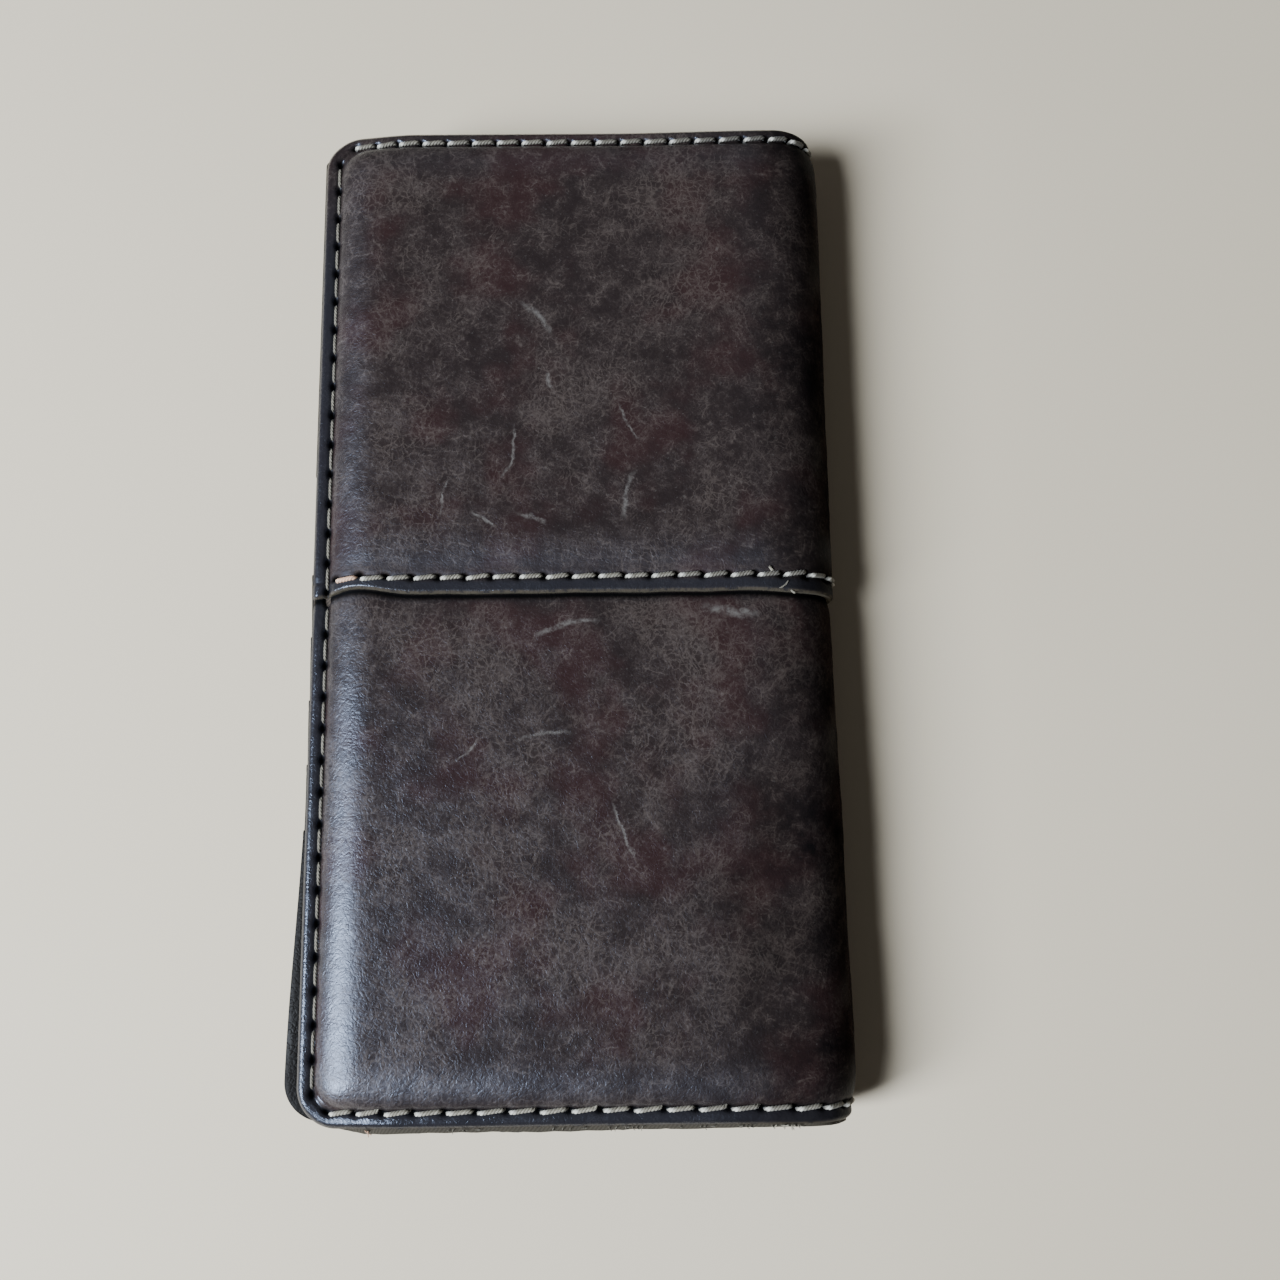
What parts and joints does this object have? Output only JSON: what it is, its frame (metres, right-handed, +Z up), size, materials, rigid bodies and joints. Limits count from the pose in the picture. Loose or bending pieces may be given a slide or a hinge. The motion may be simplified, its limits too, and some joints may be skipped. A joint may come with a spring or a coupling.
{
  "type": "long bifold wallet",
  "caption": "Closed long bifold wallet in worn dark brown leather, two lapped panels per cover, light saddle stitching, card slots, an identity window and bill pockets inside.",
  "frame": {"origin": "centre of the closed wallet's bounding box on the surface it lies on, which is the back cover's outer face", "axes": "+Z up through the closed wallet, +Y along the fold towards the end whose panel laps over the other, +X towards the fold"},
  "size_m": [0.099, 0.186, 0.019],
  "materials": {
    "cover_leather": "worn dark brown waxed leather, semi-gloss, darker at the stitched edges",
    "inside_leather": "smooth brown leather, satin",
    "lining_fabric": "dark woven lining, matte",
    "pocket_fabric": "thin dark woven pocket cloth, matte",
    "thread": "twisted cream thread, waxed and dirty",
    "window_film": "clear flexible film"
  },
  "bodies": {
    "back_half": {"far_cover_back": "cover_leather", "near_cover_back": "cover_leather", "lining_back": "lining_fabric", "bill_panel_back": "inside_leather", "pocket_bags_back": "pocket_fabric", "id_window_frame": "inside_leather", "id_window_film": "window_film", "edge_stitches_back": "thread", "seam_stitches_back": "thread", "card_slot_back_1": "inside_leather", "card_slot_back_2": "inside_leather", "card_slot_back_3": "inside_leather", "card_slot_back_4": "inside_leather", "card_slot_back_5": "inside_leather"},
    "fold_strip_1": {"far_cover_fold_1": "cover_leather", "near_cover_fold_1": "cover_leather", "lining_fold_1": "lining_fabric", "stitches_fold_1": "thread"},
    "fold_strip_2": {"far_cover_fold_2": "cover_leather", "near_cover_fold_2": "cover_leather", "lining_fold_2": "lining_fabric", "stitches_fold_2": "thread"},
    "fold_strip_3": {"far_cover_fold_3": "cover_leather", "near_cover_fold_3": "cover_leather", "lining_fold_3": "lining_fabric", "stitches_fold_3": "thread"},
    "front_half": {"far_cover_front": "cover_leather", "near_cover_front": "cover_leather", "lining_front": "lining_fabric", "bill_panel_front": "inside_leather", "pocket_bags_front": "pocket_fabric", "edge_stitches_front": "thread", "seam_stitches_front": "thread", "card_slot_front_1": "inside_leather", "card_slot_front_2": "inside_leather", "card_slot_front_3": "inside_leather", "card_slot_front_4": "inside_leather", "card_slot_front_5": "inside_leather", "card_slot_front_6": "inside_leather", "card_slot_front_7": "inside_leather", "card_slot_front_8": "inside_leather"}
  },
  "joints": [
    {"name": "fold_hinge_1", "type": "hinge", "parent": "back_half", "child": "fold_strip_1", "pos_m": [0.04364, 0, 0.00072], "axis": [0, 1, 0], "range_deg": [0, 45]},
    {"name": "fold_hinge_2", "type": "hinge", "parent": "fold_strip_1", "child": "fold_strip_2", "pos_m": [0.04878, 0, 0.00587], "axis": [0, 1, 0], "range_deg": [0, 45]},
    {"name": "fold_hinge_3", "type": "hinge", "parent": "fold_strip_2", "child": "fold_strip_3", "pos_m": [0.04878, 0, 0.01314], "axis": [0, 1, 0], "range_deg": [0, 45]},
    {"name": "fold_hinge_4", "type": "hinge", "parent": "fold_strip_3", "child": "front_half", "pos_m": [0.04364, 0, 0.01828], "axis": [0, 1, 0], "range_deg": [0, 45]}
  ],
  "couplings": [
    {"joint": "fold_hinge_2", "follows": "fold_hinge_1", "ratio": 1},
    {"joint": "fold_hinge_3", "follows": "fold_hinge_1", "ratio": 1},
    {"joint": "fold_hinge_4", "follows": "fold_hinge_1", "ratio": 1}
  ]
}
